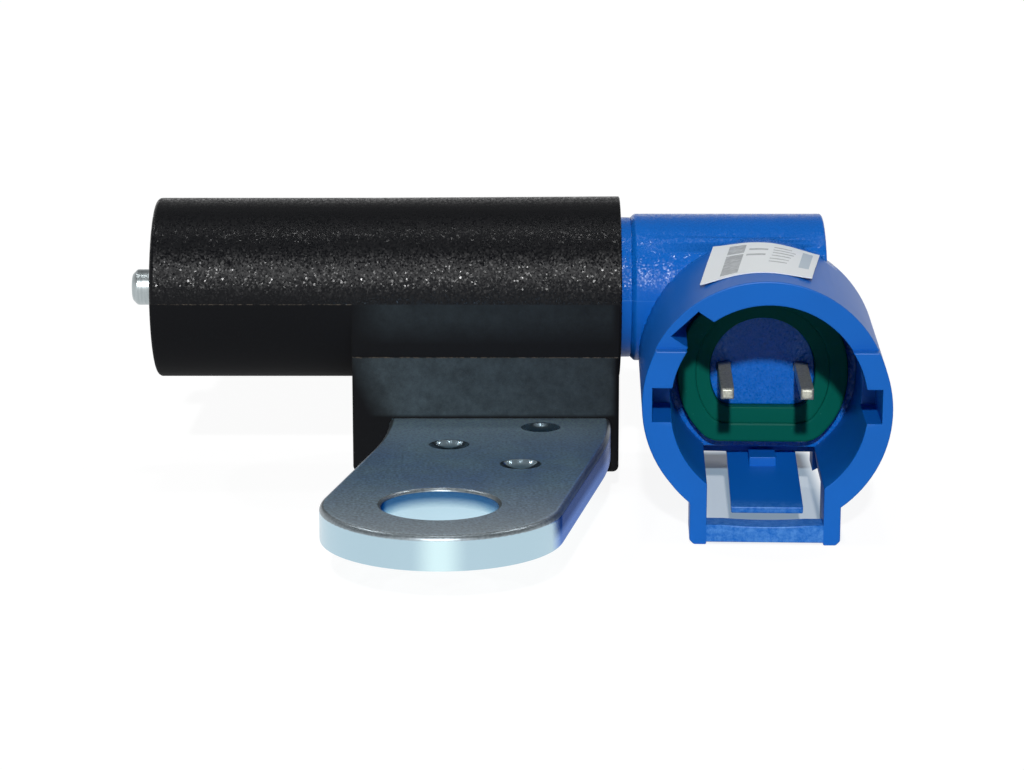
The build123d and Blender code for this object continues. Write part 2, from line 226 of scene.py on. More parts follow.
def facingParts(tree):
    # Which way the surface looks, along the object's own axes
    normal = addNode(tree, "ShaderNodeTexCoord").outputs["Normal"]
    return addNode(tree, "ShaderNodeSeparateXYZ", links={"Vector": normal})


def partingLine(tree, place, height, width):
    # Thin line all round at a height, where the two mould halves meet
    parts = addNode(tree, "ShaderNodeSeparateXYZ", links={"Vector": place})
    away = addNode(tree, "ShaderNodeMath", {"operation": "SUBTRACT", 1: height * mm}, {0: parts.outputs["Z"]})
    size = addNode(tree, "ShaderNodeMath", {"operation": "ABSOLUTE"}, {0: away})
    return addNode(tree, "ShaderNodeMapRange", {
        "From Min": width * mm, "From Max": 0.0}, {"Value": size})


# What the two mouldings share
mould = {
    "partingHeight": 14.6,               # where the mould halves meet
    "partingFade": 0.03,
    "partingWidth": 0.06,
    "topFrom": (0.5, 0.95),              # upward part of the normal over which craters get shallower
    "ripple": 0.4,                       # size of the skin's slight unevenness
    "rippleStrength": 0.5,
    "ior": 1.5,
}


def aboveParting(tree, place, side=1):
    # 1 above the parting line, or below it with side -1
    fade = side * mould["partingFade"]
    return past(tree, place, "Z", mould["partingHeight"] - fade, mould["partingHeight"] + fade)


def sparkGrain(tree, place, where, s):
    # Craters of a spark eroded mould: each has its own lean and its own polish, and catches the
    # lamp by chance. where is 1 on the grained part. Returns the roughness and the normal.
    cells = addNode(tree, "ShaderNodeTexVoronoi", {"Scale": 1 / (s["crater"] * mm)}, {"Vector": place})
    drawn = addNode(tree, "ShaderNodeSeparateColor", links={"Color": cells.outputs["Color"]})
    lean = addNode(tree, "ShaderNodeVectorMath", {"operation": "SUBTRACT", 1: (0.5, 0.5, 0.5)}, {
        0: cells.outputs["Color"]})
    fromSide, fromTop = mould["topFrom"]
    shallow = addNode(tree, "ShaderNodeMapRange", {
        "From Min": fromSide, "From Max": fromTop, "To Min": s["craterTilt"], "To Max": s["craterTiltTop"]},
        {"Value": facingParts(tree).outputs["Z"]})
    lean = addNode(tree, "ShaderNodeVectorMath", {"operation": "SCALE"}, {
        0: lean, "Scale": allOf(tree, where, shallow)})
    upright = addNode(tree, "ShaderNodeNewGeometry").outputs["Normal"]
    leant = addNode(tree, "ShaderNodeVectorMath", {"operation": "ADD"}, {0: upright, 1: lean})
    leant = addNode(tree, "ShaderNodeVectorMath", {"operation": "NORMALIZE"}, {0: leant})
    polish = addNode(tree, "ShaderNodeMapRange", {
        "From Min": 1 - s["glints"], "From Max": 1.0, "To Min": s["roughGrain"], "To Max": s["roughGlint"]},
        {"Value": drawn.outputs[1]})
    rough = addNode(tree, "ShaderNodeMix", {"data_type": "FLOAT", 2: s["roughSkin"]}, {0: where, 3: polish})
    skin = addNode(tree, "ShaderNodeTexNoise", {
        "Scale": 1 / (mould["ripple"] * mm), "Detail": 3.0}, {"Vector": place})
    relief = addNode(tree, "ShaderNodeBump", {
        "Distance": s["craterDepth"] * mm, "Strength": mould["rippleStrength"]}, {
        "Height": skin, "Normal": leant})
    return rough, relief


# Black glass filled PBT, moulded in a spark eroded tool. Above the parting line it is satin with
# fine craters that glitter, below it a smoother skin. A mottled painted sheen on the block's front
# stands in for the plate's light reflected there, and pale dashes on the ledge and the parting seam
# are painted highlights of their edges.
blackPbt = {
    "body": "#0C0D10",
    "blockFrom": (-9.5, -9.3),           # where the barrel's nose ends and the block starts
    # colour of the painted sheen: the plate's light reflected in the block's front, mottled
    "film": "#3E484D",
    "sheenGrain": 1.5,                    # size of the painted sheen's mottles
    "sheenTone": (0.16, 0.78),            # values of their noise where the painted sheen is absent and full
    "sheenSlant": 25,                     # degrees that its left edge leans
    "sheenLeft": (-5.6, -2.6),            # fades in across that edge
    "sheenRight": (16.7, 16.1),
    "sheenBefore": (34.0, 33.0),          # the back has no painted sheen
    "sheenFrom": (3.3, 3.6),              # the corner over the plate has none
    "sheenUpper": (10.6, 13.2),           # the painted sheen over the ledge fades in over these heights
    "sheenUpperShare": 0.42,
    "sheenUpperLeft": (-9.4, -6.0),       # and from its left edge
    "sheenFades": (-5.0, 16.0),           # weaker from left to right
    "sheenStrength": (1.2, 0.7),         # at those two places
    "crater": 0.16,                      # size of one crater, drawn a little coarse so that it shows
    "craterTilt": 0.25,                  # how far the craters' floors lean, as a share of a right angle
    "craterTiltTop": 0.08,               # the same on the top of the round, where the tool was polished
    "craterDepth": 0.02,
    "glints": 0.55,                      # share of the craters with a polished floor
    # pale dashes on the parting seam and the ledge: painted highlights of their lit edges
    "line": "#5C554C",
    "lineBreaks": 0.7,                   # length of the pieces that the painted highlight lines break into
    "lineGaps": (0.45, 0.6),             # values of their noise where the line is gone and whole
    "ledgeHeight": 9.3,
    "ledgeFade": 0.05,
    "roughSkin": 0.8,
    "roughGrain": 0.42,
    "roughGlint": 0.19,
    "gloss": 0.12,
}


def makeBlackPbt():
    s = blackPbt
    material, tree, place = newMaterial("blackGlassFilledPbt")
    nose, block = s["blockFrom"]
    onBlock = past(tree, place, "X", nose, block)
    onNose = past(tree, place, "X", block, nose)
    rough, relief = sparkGrain(tree, place, aboveParting(tree, place), s)
    # Painted sheen: the plate's light reflected in the block's front, mottled, weaker over the ledge
    mottles = addNode(tree, "ShaderNodeTexNoise", {
        "Scale": 1 / (s["sheenGrain"] * mm), "Detail": 12.0, "Roughness": 0.86}, {"Vector": place})
    bare, full = s["sheenTone"]
    tone = addNode(tree, "ShaderNodeMapRange", {"From Min": bare, "From Max": full}, {"Value": mottles})
    thick, thin = s["sheenStrength"]
    sheenFalloff = addNode(tree, "ShaderNodeMapRange", {"To Min": thick, "To Max": thin}, {
        "Value": past(tree, place, "X", *s["sheenFades"])})
    underLedge = past(tree, place, "Z", s["ledgeHeight"] + s["ledgeFade"], s["ledgeHeight"] - s["ledgeFade"])
    overLedge = addNode(tree, "ShaderNodeMath", {"operation": "MULTIPLY", 1: s["sheenUpperShare"]}, {
        0: past(tree, place, "Z", *s["sheenUpper"])})
    overLedge = allOf(tree, overLedge, past(tree, place, "X", *s["sheenUpperLeft"]))
    film = addNode(tree, "ShaderNodeMath", {"operation": "MAXIMUM"}, {0: underLedge, 1: overLedge})
    slanted = addNode(tree, "ShaderNodeMapping", {
        "Rotation": (0, math.radians(s["sheenSlant"]), 0)}, {"Vector": place})
    film = allOf(
        tree, film, tone, sheenFalloff, aboveParting(tree, place, side=-1), onBlock,
        past(tree, place, "Z", *s["sheenFrom"]), past(tree, slanted, "X", *s["sheenLeft"]),
        past(tree, place, "X", *s["sheenRight"]), past(tree, place, "Y", *s["sheenBefore"]))
    colour = addNode(tree, "ShaderNodeMix", {"data_type": "RGBA", 6: s["body"], 7: s["film"]}, {0: film})
    breaks = addNode(tree, "ShaderNodeTexNoise", {
        "Scale": 1 / (s["lineBreaks"] * mm), "Detail": 4.0, "Roughness": 0.8}, {"Vector": place})
    gone, whole = s["lineGaps"]
    breaks = addNode(tree, "ShaderNodeMapRange", {"From Min": gone, "From Max": whole}, {"Value": breaks})
    # Pale dashes on the nose's parting seam and the block's ledge: painted highlights of their edges
    for height, where in ((mould["partingHeight"], onNose), (s["ledgeHeight"], onBlock)):
        line = allOf(tree, partingLine(tree, place, height, mould["partingWidth"]), where, breaks)
        colour = addNode(tree, "ShaderNodeMix", {"data_type": "RGBA", 7: s["line"]}, {
            0: line, 6: colour.outputs[2]})
    shader = addNode(tree, "ShaderNodeBsdfPrincipled", {
        "IOR": mould["ior"], "Specular IOR Level": s["gloss"]}, {
        "Base Color": colour.outputs[2], "Roughness": rough, "Normal": relief})
    addNode(tree, "ShaderNodeOutputMaterial", links={"Surface": shader})
    return material


paint(housingPiece, makeBlackPbt())
print("black PBT painted")


# Blue PBT, moulded in a polished tool: satin and a little waxy. Only the elbow's upper half and
# the socket's floor have the fine craters of the black moulding. Its latch bar is rubbed pale.
bluePbt = {
    "body": "#0A67C6",
    "deep": "#0A5CB2",
    "clouds": 9.0,                       # size of the slow drift between the two blues
    "crater": 0.15,
    "craterTilt": 0.42,
    "craterTiltTop": 0.12,
    "craterDepth": 0.01,
    "glints": 0.6,
    # pale line on the parting seam: painted highlight of its ridge
    "line": "#4C86D0",
    "grainBehind": (33.6, 34.6),         # the craters lie behind this and left of the next
    "grainLeftOf": (38.6, 38.2),
    "floorFacing": (-0.9, -0.95),        # and on the socket's floor, which looks to the front
    "floorFrom": (28.9, 29.0),
    "floorTo": (30.7, 30.6),
    "scuff": "#4C8AD4",
    "scuffGrain": 0.5,
    "scuffBelow": (-1.65, -1.85),
    "scuffLeft": (24.55, 24.65),
    "scuffRight": (35.55, 35.45),
    "roughSkin": 0.42,
    "roughGrain": 0.3,
    "roughGlint": 0.13,
    "gloss": 0.19,
}


def makeBluePbt():
    s = bluePbt
    material, tree, place = newMaterial("blueSatinPbt")
    behind = past(tree, place, "Y", *s["grainBehind"])
    onElbow = allOf(tree, aboveParting(tree, place), behind, past(tree, place, "X", *s["grainLeftOf"]))
    beside, square = s["floorFacing"]
    onFloor = addNode(tree, "ShaderNodeMapRange", {"From Min": beside, "From Max": square}, {
        "Value": facingParts(tree).outputs["Y"]})
    onFloor = allOf(
        tree, onFloor, past(tree, place, "Y", *s["floorFrom"]), past(tree, place, "Y", *s["floorTo"]))
    grained = addNode(tree, "ShaderNodeMath", {"operation": "MAXIMUM"}, {0: onElbow, 1: onFloor})
    # Pale line on the parting seam, behind: painted highlight of its ridge
    line = allOf(tree, partingLine(tree, place, mould["partingHeight"], mould["partingWidth"]), behind)
    rough, relief = sparkGrain(tree, place, grained, s)
    clouds = addNode(tree, "ShaderNodeTexNoise", {
        "Scale": 1 / (s["clouds"] * mm), "Detail": 3.0}, {"Vector": place})
    colour = addNode(tree, "ShaderNodeMix", {"data_type": "RGBA", 6: s["deep"], 7: s["body"]}, {0: clouds})
    scuffs = addNode(tree, "ShaderNodeTexNoise", {
        "Scale": 1 / (s["scuffGrain"] * mm), "Detail": 5.0, "Roughness": 0.7}, {"Vector": place})
    scuffs = addNode(tree, "ShaderNodeMapRange", {"From Min": 0.35, "From Max": 0.68}, {"Value": scuffs})
    scuffs = allOf(
        tree, scuffs, past(tree, place, "Z", *s["scuffBelow"]), past(tree, place, "X", *s["scuffLeft"]),
        past(tree, place, "X", *s["scuffRight"]))
    for mark, share in (("scuff", scuffs), ("line", line)):
        colour = addNode(tree, "ShaderNodeMix", {"data_type": "RGBA", 7: s[mark]}, {
            0: share, 6: colour.outputs[2]})
    shader = addNode(tree, "ShaderNodeBsdfPrincipled", {
        "IOR": mould["ior"], "Specular IOR Level": s["gloss"]}, {
        "Base Color": colour.outputs[2], "Roughness": rough, "Normal": relief})
    addNode(tree, "ShaderNodeOutputMaterial", links={"Surface": shader})
    return material


paint(bodyPiece, makeBluePbt())
print("blue PBT painted")


# Rolled and punched steel strip, zinc plated and blue passivated: the rolled face is a dull blue
# grey with fine grit, the cut edge and the punched dents are burnished. Painted reflections lighten
# the face towards the block and the tip and colour the right flank and the hole's wall; painted
# highlights brighten the cut edge round the tip and the dents' edges; painted shade dulls the top
# edge and the dents' floors.
zincPlate = {
    "rolled": "#B0D7F0",
    "rolledTint": "#9EC5F1",             # the passivation's violet to cyan drift
    "rolledFrom": (0.1, 0.25),           # upward part of the normal, from the cut edge to the face
    "rearSheen": "#D3EDFF",                   # painted reflection, lighter by the block
    "rearSheenFrom": (16.0, 30.0),
    "tipSheen": "#D4E4EF",                 # painted reflection, greyer towards the tip
    "tipSheenFrom": (8.0, -8.0),
    "rim": "#8A949A",                    # the top edge that the punch pulled down, with painted shade that dulls its reflection
    "rimFrom": (0.98, 0.9),
    "cut": "#B4CFDC",
    "nose": "#DAF6FB",                   # painted highlight: brightest strip of the cut edge, round the tip
    "noseHighlightFrom": (0.24, 0.02),            # sideways part of its normal
    "flankReflectionTop": "#2A447F",               # painted reflection: dark on the upper band that the punch left on the right flank, light below
    "flankReflectionLow": "#9DB8EC",
    "flankReflectionEdge": "#8C9EC6",              # tint of the painted reflection at a grazing look
    "flankFrom": (0.89, 0.965),          # part of the normal that looks right
    "flankBand": (0.9, 1.7),             # heights between which the two meet
    # painted reflection on the wall of the hole: dark at the top, bright below
    "boreReflectionTop": "#41709C",
    "boreReflectionLow": "#C4E2F0",
    "boreFrom": (5.4, 5.3),              # distance from the hole's axis
    "boreReflectionBand": (1.4, 2.4),
    "dents": [(0.4, 21.4), (9.2, 28.3), (7.2, 14.0)],
    # painted shade on the dents' floors and a painted highlight towards their edges
    "dentShade": "#7FA0B4",
    "dentHighlight": "#AAC2D0",               # painted highlight, towards the dent's edge
    "dentFrom": (2.0, 1.85),             # distance from the dent's middle
    "dentHighlightFrom": (1.2, 1.5),
    "top": 3.2,
    "drift": 7.0,
    "driftFrom": (0.38, 0.66),
    "grit": 0.25,
    "gritDepth": 0.015,
    "gritTone": (0.8, 1.2),              # how much darker and lighter the grit makes it
    "roughRolled": 0.38,
    "roughCut": 0.24,
    "roughDent": 0.16,
}


def makeZincPlate():
    s = zincPlate
    material, tree, place = newMaterial("bluePassivatedZinc")
    facing = facingParts(tree)
    grit = addNode(tree, "ShaderNodeTexNoise", {
        "Scale": 1 / (s["grit"] * mm), "Detail": 2.0}, {"Vector": place})
    dark, light = s["gritTone"]

    # Rolled face: painted reflection lightens it towards the block and the tip, and painted shade
    # dulls its top edge
    drift = addNode(tree, "ShaderNodeTexNoise", {
        "Scale": 1 / (s["drift"] * mm), "Detail": 5.0, "Roughness": 0.6}, {"Vector": place})
    least, most = s["driftFrom"]
    drift = addNode(tree, "ShaderNodeMapRange", {"From Min": least, "From Max": most}, {"Value": drift})
    rolled = addNode(tree, "ShaderNodeMix", {
        "data_type": "RGBA", 6: s["rolled"], 7: s["rolledTint"]}, {0: drift})
    for change in ("rearSheen", "tipSheen"):
        rolled = addNode(tree, "ShaderNodeMix", {"data_type": "RGBA", 7: s[change]}, {
            0: past(tree, place, "Y", *s[change + "From"]), 6: rolled.outputs[2]})
    face, edge = s["rimFrom"]
    rim = addNode(tree, "ShaderNodeMapRange", {"From Min": face, "From Max": edge}, {
        "Value": facing.outputs["Z"]})
    rolled = addNode(tree, "ShaderNodeMix", {"data_type": "RGBA", 7: s["rim"]}, {
        0: rim, 6: rolled.outputs[2]})
    speckle = addNode(tree, "ShaderNodeMapRange", {
        "From Min": 0.3, "From Max": 0.7, "To Min": dark, "To Max": light}, {"Value": grit})
    rolled = addNode(tree, "ShaderNodeVectorMath", {"operation": "SCALE"}, {
        0: rolled.outputs[2], "Scale": speckle})

    # Cut edge with a painted highlight round the tip, its right flank and the wall of the hole with
    # painted reflections
    sideways = addNode(tree, "ShaderNodeMath", {"operation": "ABSOLUTE"}, {0: facing.outputs["X"]})
    beside, front = s["noseHighlightFrom"]
    nose = addNode(tree, "ShaderNodeMapRange", {
        "interpolation_type": "SMOOTHSTEP", "From Min": beside, "From Max": front}, {"Value": sideways})
    cut = addNode(tree, "ShaderNodeMix", {"data_type": "RGBA", 6: s["cut"], 7: s["nose"]}, {0: nose})
    curved, straight = s["flankFrom"]
    flank = addNode(tree, "ShaderNodeMapRange", {"From Min": curved, "From Max": straight}, {
        "Value": facing.outputs["X"]})
    flankReflection = addNode(tree, "ShaderNodeMix", {
        "data_type": "RGBA", 6: s["flankReflectionLow"], 7: s["flankReflectionTop"]}, {
        0: past(tree, place, "Z", *s["flankBand"])})
    level = addNode(tree, "ShaderNodeVectorMath", {"operation": "MULTIPLY", 1: (1, 1, 0)}, {0: place})
    fromAxis = addNode(tree, "ShaderNodeVectorMath", {"operation": "LENGTH"}, {0: level})
    outer, inner = s["boreFrom"]
    inBore = addNode(tree, "ShaderNodeMapRange", {"From Min": outer * mm, "From Max": inner * mm}, {
        "Value": fromAxis.outputs["Value"]})
    boreReflection = addNode(tree, "ShaderNodeMix", {"data_type": "RGBA", 6: s["boreReflectionLow"], 7: s["boreReflectionTop"]}, {
        0: past(tree, place, "Z", *s["boreReflectionBand"])})
    for where, part in ((flank, flankReflection), (inBore, boreReflection)):
        cut = addNode(tree, "ShaderNodeMix", {"data_type": "RGBA"}, {
            0: where, 6: cut.outputs[2], 7: part.outputs[2]})

    # Dents, each round its own middle: painted shade on the floor, a painted highlight towards the edge
    nearest = None
    for x, y in s["dents"]:
        away = addNode(tree, "ShaderNodeVectorMath", {
            "operation": "DISTANCE", 1: (x * mm, y * mm, s["top"] * mm)}, {0: place}).outputs["Value"]
        nearest = away if nearest is None else addNode(
            tree, "ShaderNodeMath", {"operation": "MINIMUM"}, {0: nearest, 1: away})
    outer, inner = s["dentFrom"]
    dented = addNode(tree, "ShaderNodeMapRange", {
        "From Min": outer * mm, "From Max": inner * mm}, {"Value": nearest})
    inner, outer = s["dentHighlightFrom"]
    dentHighlight = addNode(tree, "ShaderNodeMapRange", {
        "From Min": inner * mm, "From Max": outer * mm}, {"Value": nearest})
    dent = addNode(tree, "ShaderNodeMix", {"data_type": "RGBA", 6: s["dentShade"], 7: s["dentHighlight"]}, {
        0: dentHighlight})

    # All three together
    edge, face = s["rolledFrom"]
    rolledShare = addNode(tree, "ShaderNodeMapRange", {"From Min": edge, "From Max": face}, {
        "Value": facing.outputs["Z"]})
    colour = addNode(tree, "ShaderNodeMix", {"data_type": "RGBA"}, {
        0: rolledShare, 6: cut.outputs[2], 7: rolled})
    colour = addNode(tree, "ShaderNodeMix", {"data_type": "RGBA"}, {
        0: dented, 6: colour.outputs[2], 7: dent.outputs[2]})
    rough = addNode(tree, "ShaderNodeMix", {
        "data_type": "FLOAT", 2: s["roughCut"], 3: s["roughRolled"]}, {0: rolledShare})
    worn = addNode(tree, "ShaderNodeMapRange", {"To Min": dark, "To Max": light}, {"Value": grit})
    rough = addNode(tree, "ShaderNodeMix", {"data_type": "FLOAT", 3: s["roughDent"]}, {
        0: dented, 2: allOf(tree, rough, worn)})
    # Tint of the flank's painted reflection at a grazing look
    flankReflectionTint = addNode(tree, "ShaderNodeMix", {
        "data_type": "RGBA", 6: "#FFFFFF", 7: s["flankReflectionEdge"]}, {0: flank})
    relief = addNode(tree, "ShaderNodeBump", {
        "Distance": s["gritDepth"] * mm, "Strength": 0.6}, {"Height": grit})
    shader = addNode(tree, "ShaderNodeBsdfPrincipled", {"Metallic": 1.0}, {
        "Base Color": colour.outputs[2], "Specular Tint": flankReflectionTint.outputs[2],
        "Roughness": rough, "Normal": relief})
    addNode(tree, "ShaderNodeOutputMaterial", links={"Surface": shader})
    return material


paint(platePiece, makeZincPlate())
print("zinc plate painted")


# Green silicone: smooth and rather matt, with a few specks of dust
greenSilicone = {
    "body": "#04584B",
    "dust": "#2E7F6E",
    "dustPitch": 1.3,
    "dustSize": (0.07, 0.02),            # a speck's edge and its core, as shares of the pitch
    "dustShare": 0.5,
    "skin": 0.5,
    "skinDepth": 0.01,
    "rough": 0.4,
    "gloss": 0.04,
}


def makeGreenSilicone():
    s = greenSilicone
    material, tree, place = newMaterial("greenMattSilicone")
    dust = addNode(tree, "ShaderNodeTexVoronoi", {"Scale": 1 / (s["dustPitch"] * mm)}, {"Vector": place})
    edge, core = s["dustSize"]
    specks = addNode(tree, "ShaderNodeMapRange", {
        "From Min": edge, "From Max": core, "To Max": s["dustShare"]}, {"Value": dust.outputs["Distance"]})
    colour = addNode(tree, "ShaderNodeMix", {
        "data_type": "RGBA", 6: s["body"], 7: s["dust"]}, {0: specks})
    skin = addNode(tree, "ShaderNodeTexNoise", {
        "Scale": 1 / (s["skin"] * mm), "Detail": 3.0}, {"Vector": place})
    relief = addNode(tree, "ShaderNodeBump", {
        "Distance": s["skinDepth"] * mm, "Strength": 0.4}, {"Height": skin})
    shader = addNode(tree, "ShaderNodeBsdfPrincipled", {
        "Roughness": s["rough"], "IOR": 1.41, "Specular IOR Level": s["gloss"]}, {
        "Base Color": colour.outputs[2], "Normal": relief})
    addNode(tree, "ShaderNodeOutputMaterial", links={"Surface": shader})
    return material


paint(sealPiece, makeGreenSilicone())
print("green silicone painted")


# Small metal pieces: stretch gives the streaks that the tool, the die or the winding left
metals = {
    "turnedSoftIron": {                  # pale grey with fine rings from the lathe
        "light": "#C6CED0", "dark": "#8F999C", "rough": (0.22, 0.42), "metal": 1.0,
        "stretch": (1, 0.05, 0.05), "grain": 0.25},
    "tinPlatedBrass": {                  # dull warm tin, partly matt, darker in patches
        "light": "#DADCCE", "dark": "#5C5C56", "rough": (0.34, 0.54), "metal": 0.6,
        "stretch": (1, 0.6, 1), "grain": 0.2},
    "groundAlnico": {                    # dark grey, ground lengthwise
        "light": "#8E8A86", "dark": "#6E6A66", "rough": (0.32, 0.52), "metal": 1.0,
        "stretch": (0.1, 1, 1), "grain": 0.2},
    "enamelledCopperWire": {             # glossy reddish brown, streaked round as the wire runs
        "light": "#C8703C", "dark": "#8E4420", "rough": (0.22, 0.42), "metal": 1.0,
        "stretch": (1, 0.02, 0.02), "grain": 0.12},
    "flowedSolder": {                    # bright and smooth, hardly any grain
        "light": "#C9CBCC", "dark": "#A3A6A8", "rough": (0.14, 0.34), "metal": 1.0,
        "stretch": (1, 1, 1), "grain": 0.4},
}
streakDepth = 0.006


def makeMetal(name):
    s = metals[name]
    material, tree, place = newMaterial(name)
    run = addNode(tree, "ShaderNodeMapping", {"Scale": s["stretch"]}, {"Vector": place})
    streaks = addNode(tree, "ShaderNodeTexNoise", {
        "Scale": 1 / (s["grain"] * mm), "Detail": 3.0}, {"Vector": run})
    colour = addNode(tree, "ShaderNodeMix", {
        "data_type": "RGBA", 6: s["dark"], 7: s["light"]}, {0: streaks})
    smooth, dull = s["rough"]
    rough = addNode(tree, "ShaderNodeMapRange", {"To Min": smooth, "To Max": dull}, {"Value": streaks})
    relief = addNode(tree, "ShaderNodeBump", {
        "Distance": streakDepth * mm, "Strength": 0.5}, {"Height": streaks})
    shader = addNode(tree, "ShaderNodeBsdfPrincipled", {"Metallic": s["metal"]}, {
        "Base Color": colour.outputs[2], "Roughness": rough, "Normal": relief})
    addNode(tree, "ShaderNodeOutputMaterial", links={"Surface": shader})
    return material


metalFinish = {name: makeMetal(name) for name in metals}
paint(polePiece, metalFinish["turnedSoftIron"])
for pin in (leftPin, rightPin):
    paint(pin, metalFinish["tinPlatedBrass"])
print("metals painted")


# Plastics out of sight: a milky nylon spool, and a yellow polyester tape with a wrapped sheen
plastics = {
    "naturalNylon": {"light": "#D9D3BF", "dark": "#C4BDA6", "rough": 0.45, "grain": 0.6},
    "polyesterTape": {"light": "#D8B04A", "dark": "#B98F33", "rough": 0.3, "grain": 0.8},
}
cloudDepth = 0.01


def makePlastic(name):
    s = plastics[name]
    material, tree, place = newMaterial(name)
    clouds = addNode(tree, "ShaderNodeTexNoise", {
        "Scale": 1 / (s["grain"] * mm), "Detail": 3.0}, {"Vector": place})
    colour = addNode(tree, "ShaderNodeMix", {
        "data_type": "RGBA", 6: s["dark"], 7: s["light"]}, {0: clouds})
    relief = addNode(tree, "ShaderNodeBump", {
        "Distance": cloudDepth * mm, "Strength": 0.4}, {"Height": clouds})
    shader = addNode(tree, "ShaderNodeBsdfPrincipled", {"Roughness": s["rough"], "IOR": 1.52}, {
        "Base Color": colour.outputs[2], "Normal": relief})
    addNode(tree, "ShaderNodeOutputMaterial", links={"Surface": shader})
    return material


hiddenFinish = {
    "bobbin": makePlastic("naturalNylon"),
    "coil_tape": makePlastic("polyesterTape"),
    "coil_winding": metalFinish["enamelledCopperWire"],
    "magnet": metalFinish["groundAlnico"],
    "post_left": metalFinish["tinPlatedBrass"],
    "post_right": metalFinish["tinPlatedBrass"],
    "solder_joint_left": metalFinish["flowedSolder"],
    "solder_joint_right": metalFinish["flowedSolder"],
}
for nodeName, finish in hiddenFinish.items():
    paint(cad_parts[nodeName], finish)
print("hidden pieces painted")


# Label: printed polyester film, satin and cool white. It lies on the round of the shroud with its
# side edges a little off it, and the grey print is thin in places.
label = {
    "centre": (30.3, 26.3),              # where its middle lies, x and y
    "turn": -8.3,                        # degrees
    "width": 10.1,
    "length": 14.5,
    "thickness": 0.1,
    "bed": 0.03,                         # glue between film and shroud
    "spring": 0.35,                      # how far the side edges stand off
    "springPower": 5,                    # the higher, the nearer to the edge it starts
    "squares": (24, 16),                 # of the grid that is laid on the shroud
    "film": "#F2F7F9",
    "print": "#A0A5A8",
    "pale": "#BCCBD6",
    "wear": 0.5,                         # size of the thin places in the print
    "rough": 0.4,
    # plain grey fields, as shares of width and length: left, right, near, far
    "fields": [
        (0.16, 0.32, 0.06, 0.62), (0.16, 0.32, 0.66, 0.92),
        (0.36, 0.54, 0.74, 0.79), (0.35, 0.53, 0.56, 0.61),
        (0.59, 0.76, 0.84, 0.87), (0.59, 0.80, 0.75, 0.78), (0.59, 0.79, 0.66, 0.69),
        (0.59, 0.77, 0.56, 0.59), (0.58, 0.76, 0.45, 0.48), (0.58, 0.75, 0.35, 0.38),
    ],
    "paleField": (0.86, 0.95, 0.30, 0.90),
}


def makeLabelPiece():
    # A flat grid is laid on the shroud from above, and its two side edges spring up again
    s = label
    bpy.ops.object.select_all(action="DESELECT")
    bpy.ops.mesh.primitive_grid_add(
        x_subdivisions=s["squares"][0], y_subdivisions=s["squares"][1], size=1, calc_uvs=True)
    piece = bpy.context.object
    piece.name = "labelSheet"
    piece.scale = (s["width"] * mm, s["length"] * mm, 1)
    piece.rotation_euler = (0, 0, math.radians(s["turn"]))
    piece.location = (s["centre"][0] * mm, s["centre"][1] * mm, cadBox[1][2])
    across = [2 * corner.co.x for corner in piece.data.vertices]   # -1 and 1 at the side edges
    bpy.ops.object.transform_apply(location=True, rotation=True, scale=True)
    surface = BVHTree.FromObject(bodyPiece, bpy.context.evaluated_depsgraph_get())
    for corner, share in zip(piece.data.vertices, across):
        below, normal, face, drop = surface.ray_cast(corner.co, Vector((0, 0, -1)))
        lift = s["bed"] + s["spring"] * abs(share) ** s["springPower"]
        corner.co = below + normal * lift * mm
    bpy.ops.object.modifier_add(type="SOLIDIFY")
    piece.modifiers[-1].thickness = s["thickness"] * mm
    piece.modifiers[-1].offset = 1
    bpy.ops.object.modifier_apply(modifier=piece.modifiers[-1].name)
    bpy.ops.object.shade_smooth_by_angle(angle=math.radians(soft["smooth"]))
    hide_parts("label")
    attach(piece, "root")
    return piece


def printedField(tree, sheet, field):
    # 1 inside one rectangle of the sheet
    left, right, near, far = field
    away = addNode(tree, "ShaderNodeVectorMath", {
        "operation": "SUBTRACT", 1: ((left + right) / 2, (near + far) / 2, 0)}, {0: sheet})
    size = addNode(tree, "ShaderNodeVectorMath", {"operation": "ABSOLUTE"}, {0: away})
    share = addNode(tree, "ShaderNodeVectorMath", {
        "operation": "DIVIDE", 1: ((right - left) / 2, (far - near) / 2, 1)}, {0: size})
    parts = addNode(tree, "ShaderNodeSeparateXYZ", links={"Vector": share})
    most = addNode(tree, "ShaderNodeMath", {"operation": "MAXIMUM"}, {
        0: parts.outputs["X"], 1: parts.outputs["Y"]})
    return addNode(tree, "ShaderNodeMath", {"operation": "LESS_THAN", 1: 1.0}, {0: most})


def makeLabelFilm():
    s = label
    material, tree, place = newMaterial("whitePolyesterFilm")
    sheet = addNode(tree, "ShaderNodeTexCoord").outputs["UV"]
    ink = None
    for field in s["fields"]:
        mark = printedField(tree, sheet, field)
        ink = mark if ink is None else addNode(
            tree, "ShaderNodeMath", {"operation": "MAXIMUM"}, {0: ink, 1: mark})
    worn = addNode(tree, "ShaderNodeTexNoise", {
        "Scale": 1 / (s["wear"] * mm), "Detail": 3.0}, {"Vector": place})
    worn = addNode(tree, "ShaderNodeMapRange", {
        "From Min": 0.2, "From Max": 0.6, "To Min": 0.5}, {"Value": worn})
    film = addNode(tree, "ShaderNodeMix", {
        "data_type": "RGBA", 6: s["film"], 7: s["pale"]}, {0: printedField(tree, sheet, s["paleField"])})
    colour = addNode(tree, "ShaderNodeMix", {"data_type": "RGBA", 7: s["print"]}, {
        0: allOf(tree, ink, worn), 6: film.outputs[2]})
    shader = addNode(tree, "ShaderNodeBsdfPrincipled", {"Roughness": s["rough"], "IOR": 1.5}, {
        "Base Color": colour.outputs[2]})
    addNode(tree, "ShaderNodeOutputMaterial", links={"Surface": shader})
    return material


labelPiece = makeLabelPiece()
paint(labelPiece, makeLabelFilm())
print("label laid")


